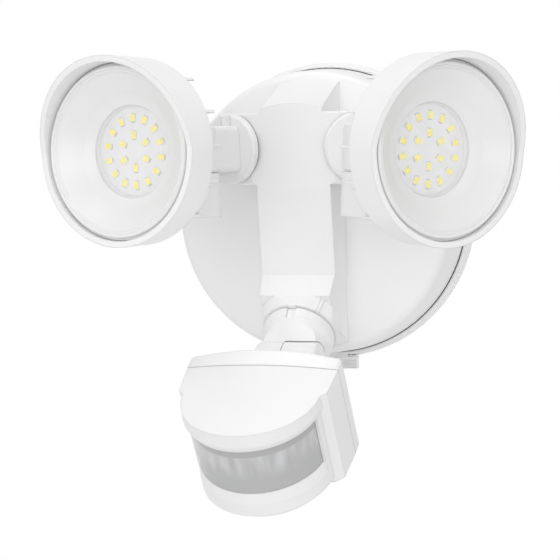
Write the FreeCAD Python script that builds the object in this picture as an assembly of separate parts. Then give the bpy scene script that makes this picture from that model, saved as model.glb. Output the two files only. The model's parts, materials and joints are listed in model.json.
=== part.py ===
import FreeCAD, Part
import os
from math import cos, radians, sin, sqrt, tan

# Twin-head wall light with a motion sensor, in millimetres.
# The wall is the plane y = 0, forward is -Y, up is +Z, and x = 0 halves the base.
# Profiles are written as (radius, forward) or (forward, height), so forward counts up towards -Y.

Vector = FreeCAD.Vector
Placement = FreeCAD.Placement
Rotation = FreeCAD.Rotation

# Clearances
running_clearance = 0.06
moving_gap = 0.3
seam_gap = 0.5
# How far a cutting or trimming shape runs past the solid
trim_margin = 5.0

# Wall plate
plate_radius = 70.0
plate_depth = 6.3
plate_floor = 2.5
plate_rim_wall = 5.4
plate_step_in = 0.6
plate_step_length = 2.0
wire_hole_radius = 11.0
wall_screw_spacing = 88.9
wall_screw_slot_width = 4.6
wall_screw_slot_length = 12.0
post_radius = 3.4
post_height = 5.5
gasket_inset = 4.0
gasket_width = 7.0
gasket_depth = 1.2
seal_width = 2.2
seal_thickness = 0.7

# Front cover
cover_inset = 2.8
cover_radius = plate_radius - cover_inset
cover_draft = 1.3
cover_side_depth = 22.0
cover_shoulder = 4.0
cover_crown = 4.0
cover_wall = 2.5

# Spine and pedestal on the cover
spine_front = 61.5
spine_crown_inset = 16.7
spine_top_half_width = 14.4
spine_half_width = 17.5
spine_taper_end = 12.0
spine_waist_front = 60.2
crease_front = 54.9
crease_above_rim = 40.0
pedestal_front = 62.0
pedestal_above_rim = 30.8
pedestal_half_width = 16.7
pedestal_slope = 40.0

# Arms and their swivel seats
lamp_height = 30.2
seat_side = 30.3
seat_forward = 56.0
seat_turn = 22.0
seat_radius = 16.4
seat_wall = 3.0
arm_chamfer = 0.9

# Swivels
swivel_radius = 16.2
swivel_thickness = 3.4
swivel_edge = 1.0
stem_radius = 6.0
stem_bore_radius = 3.5
nut_radius = 10.5
nut_thickness = 2.6
neck_width = 16.0
neck_round = 3.0
index_rib_width = 1.2
index_rib_length = 5.0
index_rib_height = 0.7
index_rib_spread = 2.8
hinge_reach = 25.0
barrel_radius = 9.5
barrel_height = 21.0
bolt_radius = 2.5
bolt_head_radius = 4.4
bolt_head_height = 3.0
bolt_nut_radius = 4.6
bolt_nut_height = 4.0

# Rest angles of the two lamp heads, as photographed
left_swivel_rest = 3.0
left_pan_rest = 5.5
right_swivel_rest = -3.0
right_pan_rest = 31.5

# Lamp heads, measured forward from their hinge axis
head_rear = 39.5
head_rim = 57.0
head_radius = 41.0
head_draft = 0.4
head_rear_round = 2.0
head_wall = 2.8
head_back_wall = 2.5
hood_reach = 9.0
fin_pitch = 14.6
fin_rows = 2
fin_thickness = 1.4
fin_depth = 5.0
fin_radius = 39.8
pad_depth = 3.4
pad_radius = 38.6
pad_top = -17.5
ear_width = 20.0
ear_height = 19.5
reflector_radius = 35.9
reflector_skirt = 1.6
lip_width = 2.2
lip_front = 56.0
board_radius = 22.6
board_thickness = 1.3
cone_foot_radius = 21.3
lens_thickness = 1.0
lens_clearance = 0.9
chip_length = 3.5
chip_width = 2.8
chip_height = 0.7
outer_ring_radius = 14.6
outer_ring_count = 14
inner_ring_radius = 7.1
inner_ring_count = 6

# Sensor boss and collar, on the sloped face of the pedestal
boss_drop = 17.7
boss_radius = 17.2
boss_length = 5.5
boss_rib_turn = 40.0
boss_rib_width = 1.6
boss_rib_proud = 0.9
boss_skirt_depth = 1.5
boss_skirt_flare = 2.8
pointer_half_width = 2.1
collar_radius = 16.4
collar_length = 7.0
collar_edge = 1.8
notch_half_width = 2.1
notch_foot_half_width = 1.3
notch_depth = 0.9
sensor_neck_half_width = 13.0
sensor_neck_half_height = 7.8
sensor_neck_taper = 6.6
sensor_hinge_reach = 20.9
sensor_barrel_radius = 10.5
sensor_barrel_round = 1.8
sensor_barrel_half_length = 14.4
sensor_barrel_split = -1.6
sensor_pitch = 31.8
sensor_web_half_height = 6.5
tilt_bolt_radius = 2.5

# Sensor head, measured from its hinge axis
sensor_half_width = 34.4
sensor_back = 23.8
sensor_seam = 31.6
sensor_cheek_end = 47.5
cheek_draft = 1.1
facet_width = 3.3
facet_depth = 3.5
sensor_drum_centre = 48.5
sensor_top = 24.5
sensor_bottom = -23.8
sensor_roof_radius = 297.0
sensor_wall = 2.0
rear_cover_edge = 1.2
visor_top_radius = 30.8
visor_radius = 31.2
visor_lip_height = 2.8
visor_lip_radius = 30.0
window_radius = 28.7
window_thickness = 1.2
window_top = 15.0
window_bottom = -8.9
window_half_angle = 77.5
window_frame = 1.2
frame_angle = 6.0
chin_lip_radius = 28.9
chin_radius = 30.0
chin_bevel = 5.1
chin_foot_height = 3.3
chin_foot_radius = 26.5
sensor_board_thickness = 1.6
sensor_board_front = 43.0
detector_radius = 4.6
detector_height = 4.2
dial_radius = 4.2
dial_spacing = 14.0
dial_forward = 48.4
dial_height = 4.0
dial_proud = 0.8
dial_slot_width = 1.0
dial_slot_depth = 0.8
sensor_screw_radius = 2.4
sensor_screw_head = 1.2
sensor_screw_inset = 8.0

# Release latch at the foot of the wall plate
latch_half_width = 12.2
latch_drop = 5.4
latch_front = 5.4
latch_back = 0.8
latch_tongue_half_width = 8.0
latch_tongue_thickness = 2.2
latch_tongue_reach = 12.0
latch_rib_count = 4
latch_rib_depth = 0.6
latch_travel = 2.5

# Driver board behind the cover
driver_width = 76.0
driver_height = 48.0
driver_thickness = 1.6
driver_screw_inset = 4.0
driver_screw_head = 2.6
transformer_size = (21.0, 15.0, 19.0)
transformer_flange = 1.0
transformer_flange_height = 3.0
capacitor_radius = 5.0
capacitor_length = 15.0
terminal_size = (18.0, 9.0, 11.0)


def lathe(profile):
    """Solid of a closed (radius, forward) outline turned about the forward axis."""
    points = [Vector(radius, -forward, 0) for radius, forward in profile]
    outline = Part.makePolygon(points + points[:1])
    return Part.Face(outline).revolve(Vector(0, 0, 0), Vector(0, 1, 0), 360)


def rod(radius, start, end):
    """Round bar on the forward axis, between two forward distances."""
    return Part.makeCylinder(radius, end - start, Vector(0, -start, 0), Vector(0, -1, 0))


def post(radius, x, forward, bottom, top):
    """Upright round bar between two heights."""
    return Part.makeCylinder(radius, top - bottom, Vector(x, -forward, bottom), Vector(0, 0, 1))


def block(x, forward, height):
    """Box from its (low, high) limits across, forward and up."""
    size = (x[1] - x[0], forward[1] - forward[0], height[1] - height[0])
    return Part.makeBox(*size, Vector(x[0], -forward[1], height[0]))


def side_prism(profile, half_width):
    """Solid of a (forward, height) outline, as wide on both sides of x = 0."""
    points = [Vector(-half_width, -forward, height) for forward, height in profile]
    outline = Part.makePolygon(points + points[:1])
    return Part.Face(outline).extrude(Vector(2 * half_width, 0, 0))


def plan_prism(profile, bottom, top):
    """Solid of an (x, forward) outline between two heights."""
    points = [Vector(x, -forward, bottom) for x, forward in profile]
    outline = Part.makePolygon(points + points[:1])
    return Part.Face(outline).extrude(Vector(0, 0, top - bottom))


def front_prism(profile, start, end):
    """Solid of an (x, height) outline between two forward distances."""
    points = [Vector(x, -start, height) for x, height in profile]
    outline = Part.makePolygon(points + points[:1])
    return Part.Face(outline).extrude(Vector(0, start - end, 0))


def mirrored(profile):
    """Outline closed by its own mirror image in x."""
    return profile + [(-x, other) for x, other in reversed(profile)]


def fused(first, *others):
    return first.fuse(list(others)).removeSplitter()


def edges_where(shape, test):
    return [edge for edge in shape.Edges if test(edge)]


# Placements of the sub-assemblies


def seat_placement(side):
    """Swivel seat of one arm: its own forward axis is the seat's normal."""
    origin = Vector(side * seat_side, -seat_forward, lamp_height)
    return Placement(origin, Rotation(Vector(0, 0, 1), side * seat_turn))


def swivel_placement(side):
    rest = left_swivel_rest if side < 0 else right_swivel_rest
    return seat_placement(side) * Placement(Vector(), Rotation(Vector(0, -1, 0), rest))


def head_placement(side):
    """Lamp head: origin on its hinge axis, at the height of the lamp's centre."""
    rest = left_pan_rest if side < 0 else right_pan_rest
    hinge = Placement(Vector(0, -hinge_reach, 0), Rotation(Vector(0, 0, 1), rest))
    return swivel_placement(side) * hinge


def boss_placement():
    """Sensor boss: its own forward axis is square to the sloped face."""
    slope = radians(pedestal_slope)
    forward = pedestal_front - boss_drop * sin(slope)
    height = pedestal_height() - boss_drop * cos(slope)
    return Placement(Vector(0, -forward, height), Rotation(Vector(1, 0, 0), pedestal_slope))


def collar_placement():
    return boss_placement() * Placement(Vector(0, -boss_length, 0), Rotation())


def sensor_placement():
    """Sensor head: origin on its tilt axis, pitched down as photographed."""
    hinge = Vector(0, -sensor_hinge_reach, 0)
    turn = Rotation(Vector(1, 0, 0), sensor_pitch - pedestal_slope)
    return collar_placement() * Placement(hinge, turn)


# Wall plate and what it carries


def latch_slot():
    """Way of the latch tongue through the plate's rim."""
    half_width = latch_tongue_half_width + moving_gap
    front = plate_floor + latch_tongue_thickness + 2 * moving_gap
    height = (-plate_radius - trim_margin, -plate_radius + 2 * plate_rim_wall)
    return block((-half_width, half_width), (plate_floor, front), height)


def wall_plate():
    inner = plate_radius - plate_rim_wall
    outline = [(0, 0), (plate_radius, 0)]
    radius = plate_radius
    forward = plate_step_length
    while forward < plate_depth:
        outline += [(radius, forward), (radius - plate_step_in, forward)]
        radius -= plate_step_in
        forward += plate_step_length
    outline += [(radius, plate_depth), (inner, plate_depth), (inner, plate_floor), (0, plate_floor)]
    plate = lathe(outline)
    plate = plate.cut(plate_gasket())
    for x, height in driver_posts():
        stud = Part.makeCylinder(post_radius, post_height, Vector(x, -plate_floor, height), Vector(0, -1, 0))
        plate = plate.fuse(stud)
    for side in (-1, 1):
        plate = plate.fuse(latch_guide(side))
    plate = plate.cut([wall_slot(-1), wall_slot(1), rod(wire_hole_radius, 0, plate_floor), latch_slot()])
    return plate.removeSplitter()


def wall_slot(side):
    """Slot for a wall screw, its long way across."""
    radius = wall_screw_slot_width / 2
    straight = wall_screw_slot_length / 2 - radius
    centre = side * wall_screw_spacing / 2
    slot = block((centre - straight, centre + straight), (0, plate_floor), (-radius, radius))
    ends = []
    for x in (centre - straight, centre + straight):
        ends.append(Part.makeCylinder(radius, plate_floor, Vector(x, 0, 0), Vector(0, -1, 0)))
    return fused(slot, *ends)


def latch_guide(side):
    """Rail beside the latch tongue, on the plate's floor."""
    inside = latch_tongue_half_width + moving_gap
    limits = sorted((side * inside, side * (inside + plate_floor)))
    front = plate_floor + latch_tongue_thickness + moving_gap
    height = (-plate_radius + plate_rim_wall / 2, -plate_radius + latch_tongue_reach)
    return block(limits, (plate_floor, front), height)


def plate_gasket():
    """Foam ring in the plate's rear groove, flush with the wall."""
    outer = plate_radius - gasket_inset
    return rod(outer, 0, gasket_depth).cut(rod(outer - gasket_width, 0, gasket_depth))


def cover_seal():
    """Dark ring between the plate's rim and the cover's edge."""
    outer = cover_radius - moving_gap
    front = plate_depth + seal_thickness
    return rod(outer, plate_depth, front).cut(rod(outer - seal_width, plate_depth, front))


def release_latch():
    """Ribbed grip under the plate with a tongue that runs up inside its rim."""
    rim = rod(plate_radius + moving_gap, 0, plate_depth + plate_floor)
    across = (-latch_half_width, latch_half_width)
    foot = -plate_radius - latch_drop
    grip = block(across, (latch_back, latch_front), (foot, -plate_radius + plate_floor)).cut(rim)
    pitch = (latch_drop - plate_step_in) / (latch_rib_count + 0.5)
    for row in range(latch_rib_count):
        bottom = foot + (row + 0.5) * pitch
        groove = block(across, (latch_front - latch_rib_depth, latch_front), (bottom, bottom + pitch / 2))
        grip = grip.cut(groove)
    back = plate_floor + moving_gap
    tongue_front = back + latch_tongue_thickness
    half_width = latch_tongue_half_width
    height = (-plate_radius - plate_floor, -plate_radius + latch_tongue_reach)
    tongue = block((-half_width, half_width), (back, tongue_front), height)
    return fused(grip, tongue)


# Driver board and its parts


def driver_posts():
    """Centres of the posts that carry the driver board, as (x, height)."""
    x = driver_width / 2 - driver_screw_inset
    height = driver_height / 2 - driver_screw_inset
    return [(-x, -height), (x, -height), (-x, height), (x, height)]


def driver_back():
    return plate_floor + post_height


def driver_front():
    return driver_back() + driver_thickness


def driver_board():
    half_width = driver_width / 2
    half_height = driver_height / 2
    board = block((-half_width, half_width), (driver_back(), driver_front()), (-half_height, half_height))
    return board.cut(rod(wire_hole_radius, driver_back(), driver_front()))


def driver_screws():
    heads = []
    for x, height in driver_posts():
        start = Vector(x, -driver_front(), height)
        heads.append(Part.makeCylinder(driver_screw_head, driver_thickness, start, Vector(0, -1, 0)))
    return Part.makeCompound(heads)


def driver_transformer():
    width, height, depth = transformer_size
    front = driver_front() + depth
    left = -driver_width / 2 + 2 * driver_screw_inset
    core = block((left, left + width), (driver_front(), front), (-height / 2, height / 2))
    edge = transformer_flange
    flange_front = driver_front() + transformer_flange_height
    flange = block((left - edge, left + width + edge), (driver_front(), flange_front),
                   (-height / 2 - edge, height / 2 + edge))
    return fused(core, flange)


def driver_capacitors():
    """Pair of cans that stand on the board."""
    cans = []
    x = driver_width / 2 - 3 * driver_screw_inset
    for height in (-capacitor_radius - 1, capacitor_radius + 1):
        start = Vector(x, -driver_front(), height)
        cans.append(Part.makeCylinder(capacitor_radius, capacitor_length, start, Vector(0, -1, 0)))
    return Part.makeCompound(cans)


def terminal_block():
    width, height, depth = terminal_size
    top = driver_height / 2 - 1
    front = driver_front() + depth
    body = block((-width / 2, width / 2), (driver_front(), front), (top - height, top))
    pitch = width / 3
    for row in range(3):
        x = -width / 2 + (row + 0.5) * pitch
        hole = Part.makeCylinder(pitch / 4, depth / 2, Vector(x, -front, top - height / 2), Vector(0, 1, 0))
        body = body.cut(hole)
    return body


# Front cover


def cover_rear():
    return plate_depth + seal_thickness


def cover_drum():
    """Drum of the cover, with a round shoulder and a low crown."""
    shoulder = cover_rear() + cover_side_depth
    top_radius = cover_radius - cover_draft
    front = shoulder + cover_shoulder
    crown_radius = top_radius - cover_shoulder
    bulge = cover_shoulder * (1 - sqrt(0.5))
    flank = Vector(crown_radius / 2, -front - cover_crown * 3 / 4, 0)
    crown = Vector(0, -front - cover_crown, 0)
    edge_shoulder = Vector(top_radius, -shoulder, 0)
    edge_front = Vector(crown_radius, -front, 0)
    edge_rear = Vector(cover_radius, -cover_rear(), 0)
    axis_rear = Vector(0, -cover_rear(), 0)
    edges = [
        Part.makeLine(axis_rear, edge_rear),
        Part.makeLine(edge_rear, edge_shoulder),
        Part.Arc(edge_shoulder, Vector(top_radius - bulge, -front + bulge, 0), edge_front).toShape(),
        Part.Arc(edge_front, flank, crown).toShape(),
        Part.makeLine(crown, axis_rear),
    ]
    return Part.Face(Part.Wire(edges)).revolve(Vector(0, 0, 0), Vector(0, 1, 0), 360)


def cover_hollow():
    """Room inside the drum, with plain slopes behind its shoulder and crown."""
    shoulder = cover_rear() + cover_side_depth
    top_radius = cover_radius - cover_draft - cover_wall
    front = shoulder + cover_shoulder - cover_wall
    return lathe([
        (0, cover_rear()),
        (cover_radius - cover_wall, cover_rear()),
        (top_radius, shoulder - cover_wall),
        (top_radius - cover_shoulder, front),
        (0, front + cover_crown / 2),
    ])


def spine_cone(wall):
    """Cone about the cover's axis that cuts the spine's top to the drum's curve."""
    shoulder = cover_rear() + cover_side_depth
    radius = cover_radius - cover_draft - cover_shoulder / 2 - wall
    crown_radius = cover_radius - spine_crown_inset - wall
    return lathe([
        (0, cover_rear()),
        (radius, cover_rear()),
        (radius, shoulder),
        (crown_radius, spine_front),
        (crown_radius, spine_front + trim_margin),
        (0, spine_front + trim_margin),
    ])


def pedestal_height():
    """Height of the pedestal's front edge."""
    return -cover_radius + pedestal_above_rim


def spine_face(wall):
    """Front line of the spine, from its top down to the crease, as (forward, height)."""
    front = spine_front - wall
    return [
        (front, cover_radius),
        (front, cover_radius - spine_crown_inset),
        (spine_waist_front - wall, spine_taper_end),
        (crease_front - wall, -cover_radius + crease_above_rim),
    ]


def spine(wall):
    """Upright ridge down the cover, with the pedestal that carries the sensor."""
    slope = radians(pedestal_slope)
    rear = cover_rear() + cover_side_depth / 2
    crown_radius = cover_radius - spine_crown_inset
    crease_height = -cover_radius + crease_above_rim
    setback = wall * tan(slope / 2)
    reach = pedestal_front - setback - rear
    foot = pedestal_height() - setback
    ridge = side_prism([(rear, cover_radius)] + spine_face(wall) + [
        (pedestal_front - setback - wall / 2, pedestal_height() + wall / 2),
        (rear, foot + wall / 2 - (reach - wall / 2) / tan(slope)),
    ], spine_half_width)
    front_outline = mirrored([
        (spine_top_half_width - wall, cover_radius),
        (spine_top_half_width - wall, crown_radius),
        (spine_half_width - wall, spine_taper_end),
        (spine_half_width - wall, crease_height),
        (pedestal_half_width - wall, pedestal_height()),
        (pedestal_half_width - wall, -cover_radius),
    ])
    outline = front_prism(front_outline, rear, spine_front + trim_margin)
    return ridge.common(outline).common(spine_cone(wall))


def arm(side, wall):
    """Arm beside the spine, with a round end that carries a swivel seat."""
    radius = seat_radius - wall
    front = -seat_wall if wall else 0
    back = -(seat_forward - plate_depth - cover_side_depth) - cover_shoulder
    bar = rod(radius, back, front)
    inward = sorted((0, -side * (seat_side - wall)))
    bridge = block(inward, (back, front), (-radius, radius))
    shape = fused(bar, bridge)
    if not wall:
        inner_x = -side * seat_side
        on_face = edges_where(shape, lambda edge: all(abs(v.Point.y) < 1e-6 for v in edge.Vertexes))
        rim = [edge for edge in on_face if not all(abs(v.Point.x - inner_x) < 1e-6 for v in edge.Vertexes)]
        shape = shape.makeChamfer(arm_chamfer, rim)
    shape.Placement = seat_placement(side)
    reach = 2 * cover_radius
    across = sorted((0, side * reach))
    flush = side_prism([(plate_depth, cover_radius)] + spine_face(wall) + [(plate_depth, -cover_radius)], reach)
    return shape.common(block(across, (plate_depth, reach), (-cover_radius, cover_radius))).common(flush)


def sensor_boss():
    """Boss with a drafted skirt that the pedestal's sides and front edge trim."""
    start = Vector(0, boss_skirt_depth, 0)
    flare = boss_skirt_flare * (1 + boss_skirt_depth / boss_length)
    skirt = Part.makeCone(boss_radius + flare, boss_radius - seam_gap / 2, boss_length + boss_skirt_depth,
                          start, Vector(0, -1, 0))
    keep = block((-pedestal_half_width, pedestal_half_width), (-boss_skirt_depth, boss_length), (0, boss_drop))
    core = rod(boss_radius, -cover_wall - boss_length, boss_length)
    rib = side_prism([
        (-boss_length, 0),
        (-boss_length, boss_radius + boss_skirt_flare + boss_rib_proud),
        (0, boss_radius + boss_skirt_flare + boss_rib_proud),
        (boss_length, boss_radius + boss_rib_proud),
        (boss_length, 0),
    ], boss_rib_width / 2)
    rib.rotate(Vector(0, 0, 0), Vector(0, 1, 0), boss_rib_turn)
    pointer = block((-pointer_half_width, pointer_half_width), (0, boss_length + seam_gap / 2),
                    (boss_radius / 2, boss_radius))
    shape = fused(core, skirt.common(keep), rib, pointer)
    shape.Placement = boss_placement()
    return shape


def nut_room():
    """Room for the collar's clamp nut, behind the boss's seat."""
    room = rod(boss_radius - 2 * cover_wall, -cover_wall - boss_length, boss_length - cover_wall)
    room.Placement = boss_placement()
    return room


def stem_bore(placement, front):
    bore = rod(stem_radius + running_clearance, front - 3 * seat_wall, front + 1)
    bore.Placement = placement
    return bore


def front_cover():
    outer = cover_drum().fuse([spine(0), arm(-1, 0), arm(1, 0), sensor_boss()])
    hollow = cover_hollow().fuse([spine(cover_wall), arm(-1, cover_wall), arm(1, cover_wall)])
    bores = [stem_bore(seat_placement(-1), 0), stem_bore(seat_placement(1), 0)]
    bores.append(stem_bore(boss_placement(), boss_length))
    return outer.cut([hollow, nut_room()] + bores)


# Swivel joints


def swivel_disc(radius, thickness, edge):
    """Disc with a stem through the seat's bore; forward 0 is the seat's face."""
    front = seam_gap + thickness
    return lathe([
        (0, -3 * seat_wall),
        (stem_radius, -3 * seat_wall),
        (stem_radius, seam_gap),
        (radius, seam_gap),
        (radius, front - edge),
        (radius - edge, front),
        (0, front),
    ])


def index_ribs(front, radius):
    """Pair of small ribs at the top of a disc."""
    ribs = []
    top = radius - swivel_edge
    forward = (front - swivel_edge, front + index_rib_height)
    for x in (-index_rib_spread, index_rib_spread):
        limits = (x - index_rib_width / 2, x + index_rib_width / 2)
        ribs.append(block(limits, forward, (top - index_rib_length, top)))
    return ribs


def swivel():
    """Swivel disc, neck and the upper hinge barrel of one lamp, in its seat's frame."""
    front = seam_gap + swivel_thickness
    half_height = barrel_height / 2
    disc = swivel_disc(swivel_radius, swivel_thickness, swivel_edge)
    neck = block((-neck_width / 2, neck_width / 2), (front - 1, hinge_reach), (-half_height, half_height))
    long_edges = edges_where(neck, lambda edge: abs(edge.Length - (hinge_reach - front + 1)) < 1e-6)
    neck = neck.makeFillet(neck_round, long_edges)
    barrel = post(barrel_radius, 0, hinge_reach, -half_height, half_height)
    rims = edges_where(barrel, lambda edge: len(edge.Vertexes) == 1)
    barrel = barrel.makeChamfer(swivel_edge, rims)
    shape = fused(disc, neck, barrel, *index_ribs(front, swivel_radius))
    bore = post(bolt_radius + running_clearance, 0, hinge_reach, -half_height, half_height)
    head_floor = half_height - bolt_head_height - 2 * moving_gap
    counterbore = post(bolt_head_radius + moving_gap, 0, hinge_reach, head_floor, half_height)
    wire_way = rod(stem_bore_radius, -3 * seat_wall, front + 2)
    return shape.cut([bore, counterbore, wire_way])


def clamp_nut():
    """Ring nut that holds a swivel's stem behind the seat's wall."""
    back = -seat_wall - moving_gap
    outline = []
    for step in range(6):
        angle = radians(60 * step)
        outline.append((nut_radius * cos(angle), nut_radius * sin(angle)))
    nut = front_prism(outline, back - nut_thickness, back)
    return nut.cut(rod(stem_radius, back - nut_thickness, back))


# Lamp heads


def hood_cut():
    """Everything in front of the rim: square below the middle, slanted over the hood."""
    top = head_radius + 1
    far = head_rim + 4 * hood_reach
    slant = head_rim + hood_reach * top / head_radius
    return side_prism([(head_rim, -top), (head_rim, 0), (slant, top), (far, top), (far, -top)], top)


def lamp_fins():
    """Flat cooling fins across the back, their ends on a circle."""
    fins = []
    envelope = rod(fin_radius, head_rear - fin_depth, head_rear + 1)
    for row in range(-fin_rows, fin_rows + 1):
        height = row * fin_pitch
        limits = (height - fin_thickness / 2, height + fin_thickness / 2)
        fin = block((-fin_radius, fin_radius), (head_rear - fin_depth, head_rear + 1), limits)
        fins.append(fin.common(envelope))
    return fins


def lamp_ear():
    """Lower hinge ear: runs back from the housing and ends round at the hinge."""
    top = -barrel_height / 2 - moving_gap
    bottom = top - ear_height
    arm_back = block((-ear_width / 2, ear_width / 2), (0, head_rear + 1), (bottom, top))
    return fused(arm_back, post(ear_width / 2, 0, 0, bottom, top))


def lamp_pad():
    """Raised pad behind the ear's root."""
    slab = rod(pad_radius, head_rear - pad_depth, head_rear + 1)
    keep = block((-pad_radius, pad_radius), (head_rear - pad_depth, head_rear + 1), (-pad_radius, pad_top))
    return slab.common(keep)


def lamp_housing():
    """Shallow round housing with a hooded rim, cooling fins and the lower hinge ear."""
    rear_radius = head_radius - head_draft
    inner = head_radius - head_wall
    front = head_rim + 2 * hood_reach
    floor = head_rear + head_back_wall
    shell = lathe([
        (0, head_rear),
        (rear_radius - head_rear_round, head_rear),
        (rear_radius, head_rear + head_rear_round),
        (head_radius, head_rim),
        (head_radius, front),
        (inner, front),
        (inner, floor),
        (0, floor),
    ])
    shell = shell.cut(hood_cut())
    shape = fused(shell, lamp_ear(), lamp_pad(), *lamp_fins())
    top = -barrel_height / 2 - moving_gap
    bottom = top - ear_height
    bolt_hole = post(bolt_radius, 0, 0, bottom, top)
    pocket = hinge_nut()
    return shape.cut([bolt_hole, pocket])


def hinge_bolt():
    """Upright bolt of a lamp's hinge, its head sunk in the barrel's top."""
    head_top = barrel_height / 2 - moving_gap
    head_bottom = head_top - bolt_head_height
    ear_bottom = -barrel_height / 2 - moving_gap - ear_height
    shank = post(bolt_radius, 0, 0, ear_bottom + moving_gap, head_bottom)
    head = post(bolt_head_radius, 0, 0, head_bottom, head_top)
    socket = hexagon(bolt_radius * 0.8, 0, 0, head_top - bolt_head_height / 2, head_top)
    return fused(shank, head).cut(socket)


def hexagon(radius, x, forward, bottom, top):
    """Upright six-sided bar."""
    points = []
    for step in range(6):
        angle = radians(60 * step)
        points.append((x + radius * cos(angle), forward + radius * sin(angle)))
    return plan_prism(points, bottom, top)


def hinge_nut():
    """Six-sided nut in the underside of the ear."""
    bottom = -barrel_height / 2 - moving_gap - ear_height
    nut = hexagon(bolt_nut_radius, 0, 0, bottom, bottom + bolt_nut_height)
    return nut.cut(post(bolt_radius, 0, 0, bottom, bottom + bolt_nut_height))


def led_plane():
    """Forward distance of the LED board's front face."""
    return head_rear + head_back_wall + board_thickness


def reflector():
    """Bowl with a rounded lip, standing on the housing's floor by its skirt."""
    floor = head_rear + head_back_wall
    foot = led_plane() + chip_height + lens_clearance
    inner_lip = reflector_radius - lip_width
    crest = lip_front
    cone_top = crest - lip_width / 2
    skirt_inner = reflector_radius - reflector_skirt
    return lathe([
        (skirt_inner, floor),
        (reflector_radius, floor),
        (reflector_radius, cone_top),
        (reflector_radius - lip_width / 3, crest),
        (inner_lip + lip_width / 3, crest),
        (inner_lip, cone_top),
        (cone_foot_radius + lens_thickness / 2, foot + lens_thickness),
        (cone_foot_radius, foot + lens_thickness),
        (cone_foot_radius, foot),
        (cone_foot_radius - 1, foot),
        (cone_foot_radius - 1, led_plane()),
        (cone_foot_radius + 1, led_plane()),
        (skirt_inner, cone_top - 3 * reflector_skirt),
    ])


def lamp_lens():
    """Clear disc over the LEDs, seated in the reflector's foot."""
    foot = led_plane() + chip_height + lens_clearance
    return rod(cone_foot_radius, foot, foot + lens_thickness)


def led_board():
    """Round board on the housing's floor."""
    return rod(board_radius, head_rear + head_back_wall, led_plane())


def led_chips():
    """Two rings of flat LED packages, their long sides radial."""
    chips = []
    for radius, count in ((outer_ring_radius, outer_ring_count), (inner_ring_radius, inner_ring_count)):
        for step in range(count):
            limits = (radius - chip_length / 2, radius + chip_length / 2)
            chip = block((-chip_width / 2, chip_width / 2), (led_plane(), led_plane() + chip_height), limits)
            chip.rotate(Vector(0, 0, 0), Vector(0, -1, 0), 360 * step / count)
            chips.append(chip)
    return Part.makeCompound(chips)


# Sensor collar


def collar():
    """Turning collar on the boss, its neck and the left hinge barrel, in the collar's frame."""
    front = seam_gap + collar_length
    disc = swivel_disc(collar_radius, collar_length, collar_edge)
    neck = collar_neck(front)
    barrel = sensor_barrel(sensor_barrel_split - moving_gap, -sensor_barrel_half_length)
    barrel.Placement = Placement(Vector(0, -sensor_hinge_reach, 0), Rotation())
    shape = fused(disc, neck, barrel)
    shape = shape.cut(collar_notch(front))
    bore = tilt_bore(tilt_bolt_radius + running_clearance)
    wire_way = rod(stem_bore_radius, -3 * seat_wall, front)
    return shape.cut([right_barrel_room(), bore, wire_way])


def ring(radius, forward):
    """Circle about the forward axis, as four arcs that start at the upper left."""
    arcs = []
    for quarter in range(4):
        points = []
        for turn in (135, 90, 45):
            angle = radians(turn - 90 * quarter)
            points.append(Vector(radius * cos(angle), -forward, radius * sin(angle)))
        arcs.append(Part.Arc(*points).toShape())
    return Part.Wire(arcs)


def collar_neck(front):
    """Blend from the collar's round face to a square bar that ends at the hinge."""
    across = sensor_neck_half_width
    up = sensor_neck_half_height
    forward = front + sensor_neck_taper
    corners = [(-across, up), (across, up), (across, -up), (-across, -up)]
    points = [Vector(x, -forward, height) for x, height in corners]
    square = Part.Wire([Part.makeLine(points[k], points[(k + 1) % 4]) for k in range(4)])
    blend = Part.makeLoft([ring(collar_radius - collar_edge, front), square], True, True)
    return fused(blend, block((-across, across), (forward, sensor_hinge_reach), (-up, up)))


def collar_notch(front):
    """Index notch down the top of the collar's side, narrower at its foot."""
    outline = mirrored([(notch_half_width, seam_gap), (notch_foot_half_width, front)])
    return plan_prism(outline, collar_radius - notch_depth, collar_radius + trim_margin)


def sensor_barrel(inside, end):
    """Stretch of the tilt hinge's barrel about the x axis, rounded at its free end."""
    outward = 1 if end > inside else -1
    radius = sensor_barrel_radius
    corner = sensor_barrel_round * (1 - sqrt(0.5))
    profile = [
        (inside, 0),
        (inside, radius),
        (end - outward * sensor_barrel_round, radius),
        (end - outward * corner, radius - corner),
        (end, radius - sensor_barrel_round),
        (end, 0),
    ]
    points = [Vector(x, 0, height) for x, height in profile]
    outline = Part.makePolygon(points + points[:1])
    return Part.Face(outline).revolve(Vector(0, 0, 0), Vector(1, 0, 0), 360)


def right_barrel_room():
    """Space that the sensor's own barrel and lug turn in."""
    radius = sensor_barrel_radius + moving_gap
    start = Vector(sensor_barrel_split - moving_gap, -sensor_hinge_reach, 0)
    length = sensor_barrel_half_length + collar_radius
    return Part.makeCylinder(radius, length, start, Vector(1, 0, 0))


def tilt_bore(radius):
    start = Vector(-2 * sensor_barrel_half_length, -sensor_hinge_reach, 0)
    return Part.makeCylinder(radius, 4 * sensor_barrel_half_length, start, Vector(1, 0, 0))


# Sensor head


def cheek_half_width():
    return sensor_half_width - cheek_draft


def sensor_outline(inset):
    """Plan of the cheeks, from the seam to where the drum starts."""
    return mirrored([
        (sensor_half_width - inset, sensor_seam),
        (cheek_half_width() - inset, sensor_cheek_end),
        (cheek_half_width() - facet_width - inset, sensor_cheek_end + facet_depth),
    ])


def sensor_roof(inset):
    """Barrel-vaulted roof that trims the head's top."""
    radius = sensor_roof_radius - inset
    start = Vector(0, 0, sensor_top - sensor_roof_radius)
    return Part.makeCylinder(radius, 2 * (sensor_drum_centre + visor_radius), start, Vector(0, -1, 0))


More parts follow.
